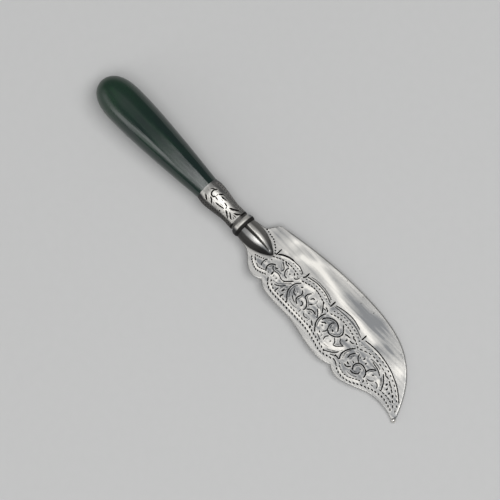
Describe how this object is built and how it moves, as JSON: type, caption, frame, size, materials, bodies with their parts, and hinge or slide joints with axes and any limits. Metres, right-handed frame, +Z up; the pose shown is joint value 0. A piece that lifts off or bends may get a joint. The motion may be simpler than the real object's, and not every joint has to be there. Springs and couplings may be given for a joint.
{
  "type": "butter spreader",
  "caption": "Broad scalloped silver spreading blade on a club-shaped polished hardstone handle, joined by a waisted ferrule, a collar ring and fluted tongue bolsters.",
  "frame": {"origin": "middle of the knife's footprint, on the surface that the handle lies on", "axes": "+X along the knife from the butt to the tip, +Y towards the cutting edge, +Z up out of the engraved face"},
  "size_m": [0.165, 0.0284, 0.0153],
  "materials": {
    "stone": "polished",
    "silver": "polished",
    "pitch": "matte"
  },
  "bodies": {
    "root": {"stone_handle": "stone", "setting_pitch": "pitch", "tang": "silver", "ferrule": "silver", "ferrule_end_plate": "silver", "collar_ring": "silver", "bolster_front": "silver", "bolster_back": "silver", "blade": "silver"}
  },
  "joints": []
}
